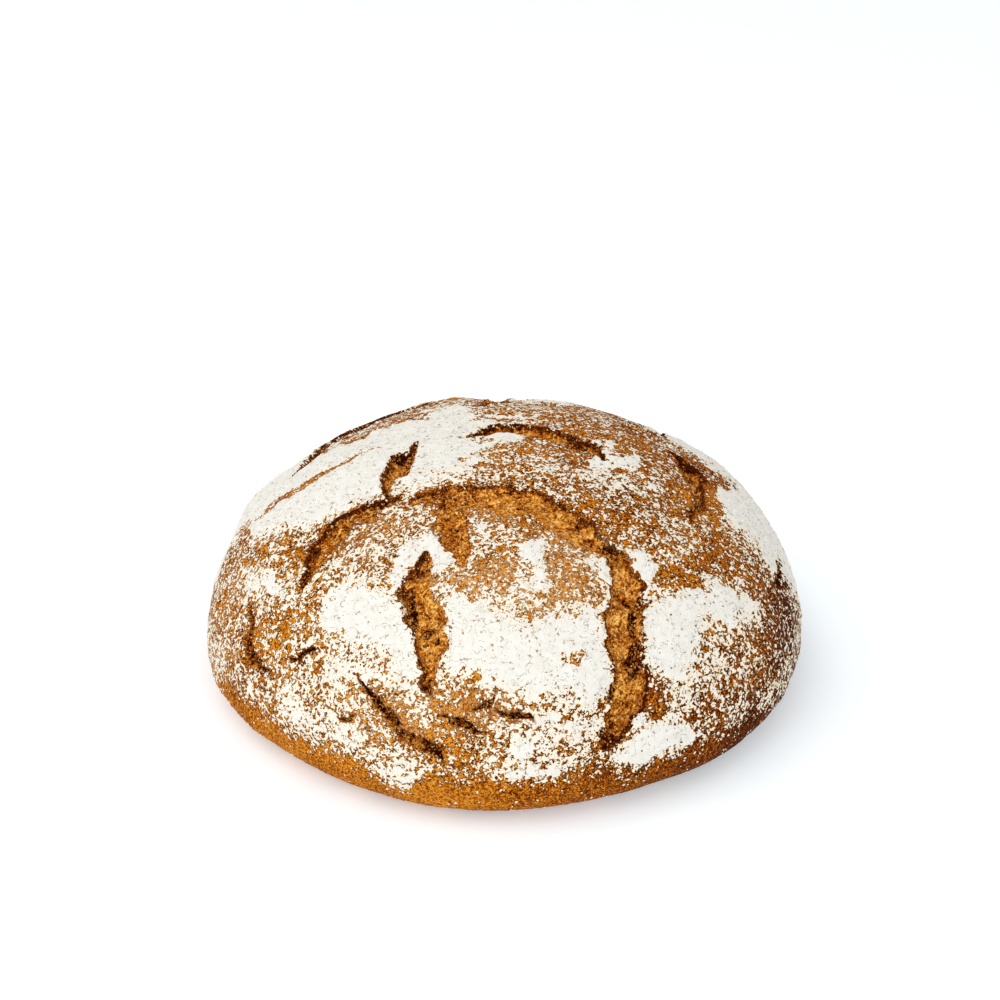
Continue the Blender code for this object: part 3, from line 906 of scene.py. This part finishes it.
# %% Crust material
SPECK_SIZE = 2.5 * MM
SPECK_SPREAD = 0.105
FLAKE_SIZE = 1.1 * MM
HAIRLINE_SIZE = 3.2 * MM
HAIRLINE_PATCH = 2.6 * MM
BRAN_DOT = 1.3 * MM
BAKED_GRAIN = 1.0 * MM
FINE_GRAIN = 0.5 * MM
FILM_GRAIN = 1.6 * MM
STRAND_SIZE = 2.6 * MM
FIBRE_SIZE = 1.1 * MM
CAKE_LUMP = 3.5 * MM
CRUST_BUMP = 0.24 * MM


def crust_finish():
    """Baked crust, torn crumb and flour, mixed by the maps of the crust."""
    finish = Finish("floured_rye_crust", 0.8, 0.03)
    dust, torn, burnt = finish.map("dust"), finish.map("torn"), finish.map("burnt")
    bake, film, pits = finish.map("bake"), finish.map("film"), finish.map("pits")
    ridges = finish.map("ridges")

    specks = 0.6 * finish.noise(SPECK_SIZE, 2.0, 0.6, 0.7) + 0.4 * finish.noise(FLAKE_SIZE, 1.0, 0.5, 0.6)
    above = specks - 0.5 + SPECK_SPREAD * dust
    flour = above.step(0.0, 0.007)
    # Painted shade: the bare crust just outside each flour speck is darkened.
    shade = above.step(-0.055, 0.0) * (1 - flour)
    hairline = 1 - finish.noise(HAIRLINE_SIZE, 1.0, 0.5, 0.8).far_from(0.5).step(0.002, 0.010)
    crack = hairline * finish.noise(HAIRLINE_PATCH, 1.0).step(0.48, 0.56)
    dots = finish.noise(BRAN_DOT, 0.0).step(0.76, 0.81)
    flour = flour * (1 - 0.65 * crack) * (1 - 0.8 * dots)

    grain = finish.noise(BAKED_GRAIN, 3.0, 0.7)
    fine = finish.noise(FINE_GRAIN, 1.0)
    # The tone takes painted shade from the dark edge of the tears and from beside the flour specks.
    tone = bake + 2.5 * (grain - 0.5) + 1.2 * (fine - 0.5) + 0.7 * burnt + 1.5 * shade
    baked = finish.ramp(
        tone,
        (0.0, (0.74, 0.305, 0.030)), (0.28, (0.51, 0.158, 0.007)), (0.55, (0.28, 0.062, 0.002)),
        (0.80, (0.12, 0.021, 0.001)), (1.0, (0.04, 0.006, 0.0004)),
    )
    veil = finish.mix(grain.step(0.36, 0.62), (0.72, 0.47, 0.23), (0.40, 0.175, 0.045))
    baked = finish.mix(film * finish.noise(FILM_GRAIN, 2.0).step(0.35, 0.6), baked, veil)

    strands = finish.noise(STRAND_SIZE, 2.0, 0.6, 0.9)
    fibres = finish.noise(FIBRE_SIZE, 3.0, 0.7, 0.5)
    # Painted light and shade on the crumb: lighter on ridge tops, darker between them, in holes and at dark
    # edges.
    crumb = finish.ramp(
        1.5 * (strands - 0.5) + 1.3 * (fibres - 0.5) + 0.7 * (fine - 0.5) + 0.32 * ridges + 0.56
        - 0.75 * burnt - 0.6 * pits,
        (0.12, (0.030, 0.003, 0.0003)), (0.33, (0.22, 0.040, 0.002)), (0.50, (0.57, 0.170, 0.010)),
        (0.66, (0.84, 0.370, 0.045)), (0.82, (0.96, 0.60, 0.16)),
    )
    ground = finish.mix(torn.step(0.25, 0.75), baked, crumb)
    cake_tone = finish.noise(CAKE_LUMP, 4.0, 0.7).step(0.3, 0.7)
    cake = finish.mix(cake_tone, (0.785, 0.76, 0.685), (0.865, 0.85, 0.795))
    cake = finish.mix(dust.step(0.0, 1.5), (0.88, 0.82, 0.70), cake)
    white = finish.mix(above.step(0.0, 0.05), (0.82, 0.48, 0.13), cake)
    colour = finish.mix(flour, ground, white)

    roughness = 0.7 + 0.25 * flour + 0.2 * (grain - 0.5)
    height = flour * (0.5 + specks) + 0.55 * grain + 0.3 * fine + 0.8 * torn * fibres - 0.5 * crack
    return finish.show(colour, roughness.clamped(), height, CRUST_BUMP)


crust.data.materials.clear()
crust.data.materials.append(crust_finish())

# %% [markdown]
# ## Grains that lie on the crust
#
# Seen from close by, flour is lumps and the torn crumb is shreds, and both break the outline of the loaf.
# A grain is a ball of twenty triangles, pushed out of round, flattened and half sunk in the crust. They are
# many, so their arrays are made at once and joined into one mesh for each kind. Particles would look the
# same here, but a mesh is what the model keeps.


# %% Grain helpers
GRAIN_ROUGHNESS = 0.32
GRAIN_SHIFT = 0.25 * MM


def grain_ball():
    """The corners and triangles of a ball of twenty triangles."""
    ball = bmesh.new()
    bmesh.ops.create_icosphere(ball, subdivisions=1, radius=1)
    corners = np.array([corner.co for corner in ball.verts])
    sides = np.array([[corner.index for corner in side.verts] for side in ball.faces])
    ball.free()
    return corners, sides


BALL_CORNERS, BALL_SIDES = grain_ball()


def outward_of(places, count):
    """The outward direction and the share of the surface at each point of the net: the cross product of
    the steps to the right and to the back."""
    net = places.reshape(count, count, 3)
    across = np.cross(np.gradient(net, axis=1), np.gradient(net, axis=0)).reshape(-1, 3)
    area = np.linalg.norm(across, axis=1)
    return across / area[:, None], area


def scattered(name, weight, count, flat_size, thickness, sunk, seed):
    """Grains at random points of the net, likelier where the weight is large, joined into one mesh.

    A grain's half length and half width are drawn between the two flat sizes, its half thickness is a
    share of their mean, and about a share of its thickness, sunk, lies under the crust."""
    draw = np.random.default_rng(seed)
    chance = weight * crust_area
    chosen = draw.choice(len(chance), size=count, p=chance / chance.sum())
    normal = crust_out[chosen]
    spin = draw.normal(size=(count, 3))
    along = np.cross(normal, spin)
    along /= np.linalg.norm(along, axis=1)[:, None]
    beside = np.cross(normal, along)
    reach = flat_size[0] + (flat_size[1] - flat_size[0]) * draw.random((count, 2)) ** 2
    tall = thickness * reach.mean(axis=1)
    rough = 1 + GRAIN_ROUGHNESS * draw.uniform(-1, 1, (count, len(BALL_CORNERS), 1))
    corners = BALL_CORNERS[None] * rough
    middle = crust_place[chosen] + normal * (tall * (1 - 2 * sunk))[:, None]
    middle = middle + GRAIN_SHIFT * draw.uniform(-1, 1, (count, 1)) * along
    points = middle[:, None] + corners[..., :1] * (along * reach[:, :1])[:, None]
    points = points + corners[..., 1:2] * (beside * reach[:, 1:])[:, None]
    points = points + corners[..., 2:] * (normal * tall[:, None])[:, None]
    points[..., 2] = np.maximum(points[..., 2], 0)
    first = len(BALL_CORNERS) * np.arange(count)[:, None, None]
    triangles = (BALL_SIDES[None] + first).reshape(-1, 3)
    tone = np.repeat(draw.random(count), len(BALL_CORNERS))
    piece = new_piece(name, mesh_from(name, points.reshape(-1, 3), triangles, {"tone": tone}))
    print(name, "has", count, "grains and", len(triangles), "triangles")
    return piece


crust_out, crust_area = outward_of(crust_place, NET_COUNT)

# %% [markdown]
# Loose flour gathers where the cover is thin and broken, because in the thick fields it is a cake. Bran
# shows on bare baked crust, and shreds of crumb stand up in the tears.

# %% Flour, bran and crumb
FLOUR_LUMPS = 8000
BRAN_FLAKES = 7000
CRUMB_SHREDS = 7000
LUMP_SIZES = (0.28 * MM, 0.75 * MM)
FLAKE_SIZES = (0.22 * MM, 0.60 * MM)
SHRED_SIZES = (0.25 * MM, 0.85 * MM)

bare = (1 - crust_cover) * (1 - crust_torn)
speckled = crust_cover * (1.15 - crust_cover) * (1 - crust_torn) * (1 - crust_burnt_and_shade) ** 2
flour_lumps = scattered("flour_lumps", speckled, FLOUR_LUMPS, LUMP_SIZES, 0.42, 0.35, 7)
bran_flakes = scattered("bran_flakes", bare, BRAN_FLAKES, FLAKE_SIZES, 0.30, 0.40, 8)
crumb_shreds = scattered("crumb_shreds", crust_torn ** 2, CRUMB_SHREDS, SHRED_SIZES, 0.55, 0.45, 9)


def flour_finish():
    """Lumps of rye flour: nearly white, some a little creamier."""
    finish = Finish("loose_flour", 0.95, 0.2)
    colour = finish.mix(finish.map("tone"), (0.92, 0.88, 0.80), (0.88, 0.79, 0.63))
    return finish.show(colour, None, finish.noise(0.3 * MM), 0.08 * MM)


def bran_finish():
    """Flakes of bran baked into the crust: straw to dark brown."""
    finish = Finish("baked_bran", 0.7, 0.35)
    tone = finish.map("tone") + 0.4 * (finish.noise(0.4 * MM) - 0.5)
    colour = finish.ramp(tone, (0.0, (0.13, 0.028, 0.003)), (0.4, (0.32, 0.095, 0.008)),
                         (0.8, (0.56, 0.22, 0.030)), (1.0, (0.74, 0.40, 0.09)))
    return finish.show(colour, None, finish.noise(0.25 * MM), 0.06 * MM)


def shred_finish():
    """Shreds of torn crumb: golden, with darker tips."""
    finish = Finish("torn_crumb", 0.85, 0.25)
    tone = finish.map("tone") + 0.5 * (finish.noise(0.5 * MM) - 0.5)
    colour = finish.ramp(tone, (0.0, (0.15, 0.030, 0.002)), (0.35, (0.38, 0.110, 0.008)),
                         (0.75, (0.62, 0.26, 0.035)), (1.0, (0.86, 0.50, 0.15)))
    return finish.show(colour, None, finish.noise(0.3 * MM), 0.08 * MM)


flour_lumps.data.materials.append(flour_finish())
bran_flakes.data.materials.append(bran_finish())
crumb_shreds.data.materials.append(shred_finish())

# %% [markdown]
# ## The table, the light and the camera
#
# The loaf stands on a plain white floor. One soft light comes from the upper left and one from the front,
# and the camera looks down by about twenty-eight degrees. A floor that is nearly white and a white sky
# leave no edge behind the loaf.


# %% Stage and light
FLOOR_HALF = 3.0
FLOOR_DROP = 0.1 * MM
FLOOR_GLOW = 0.32
LAMP_TARGET = (0, 0, 0.04)
LAMP_POWER = 6.9
ROOM_LIGHT = 0.74


def plain_floor():
    """A pale floor just under the loaf's foot, with a glow, as in a picture lit until the floor is white.

    The light that the loaf throws on it is orange, so the floor is a little blue, and its shadow is grey."""
    corners = FLOOR_HALF * np.array([(-1, -1, 0), (1, -1, 0), (1, 1, 0), (-1, 1, 0)])
    corners[:, 2] = -FLOOR_DROP
    triangles = np.array([(0, 1, 2), (0, 2, 3)])
    floor = bpy.data.objects.new("floor", mesh_from("floor", corners, triangles, {}))
    bpy.context.scene.collection.objects.link(floor)
    finish = Finish("white_floor", 0.8, 0.2)
    colour = finish.mix(finish.noise(0.4), (0.79, 0.81, 0.82), (0.81, 0.825, 0.84))
    finish.shader.inputs["Emission Color"].default_value = (0.85, 0.95, 1, 1)
    finish.shader.inputs["Emission Strength"].default_value = FLOOR_GLOW
    floor.data.materials.append(finish.show(colour))


def aimed(thing, place, target):
    """Puts the thing at the place and turns its -Z to the target, with +Y as near to up as it goes."""
    thing.location = place
    thing.rotation_euler = (Vector(target) - Vector(place)).to_track_quat("-Z", "Y").to_euler()
    bpy.context.scene.collection.objects.link(thing)
    return thing


def soft_light(name, place, side, power, colour):
    """A square lamp that faces the loaf."""
    lamp = bpy.data.lights.new(name, "AREA")
    lamp.size = side
    lamp.energy = power
    lamp.color = colour
    aimed(bpy.data.objects.new(name, lamp), place, LAMP_TARGET)


plain_floor()
soft_light("window_light", (-0.7, -0.3, 1.1), 1.4, LAMP_POWER, (1.0, 0.99, 0.97))
soft_light("front_fill", (0.25, -1.6, 0.9), 1.2, LAMP_POWER, (1.0, 1.0, 1.0))
sky = bpy.data.worlds.new("white_room")
sky.use_nodes = True
sky.node_tree.nodes["Background"].inputs["Color"].default_value = (1, 1, 1, 1)
sky.node_tree.nodes["Background"].inputs["Strength"].default_value = ROOM_LIGHT
bpy.context.scene.world = sky
bpy.context.scene.view_settings.view_transform = "Standard"
print("two lamps and a white room")

# %% Camera
CAMERA_PLACE = (-0.0005, -0.8935, 0.5551)
CAMERA_TARGET = (-0.00205, 0.01697, 0.06193)
CAMERA_LENS = 96.3

lens = bpy.data.cameras.new("camera")
lens.lens = CAMERA_LENS
lens.sensor_width = 36
camera = aimed(bpy.data.objects.new("camera", lens), CAMERA_PLACE, CAMERA_TARGET)
bpy.context.scene.camera = camera
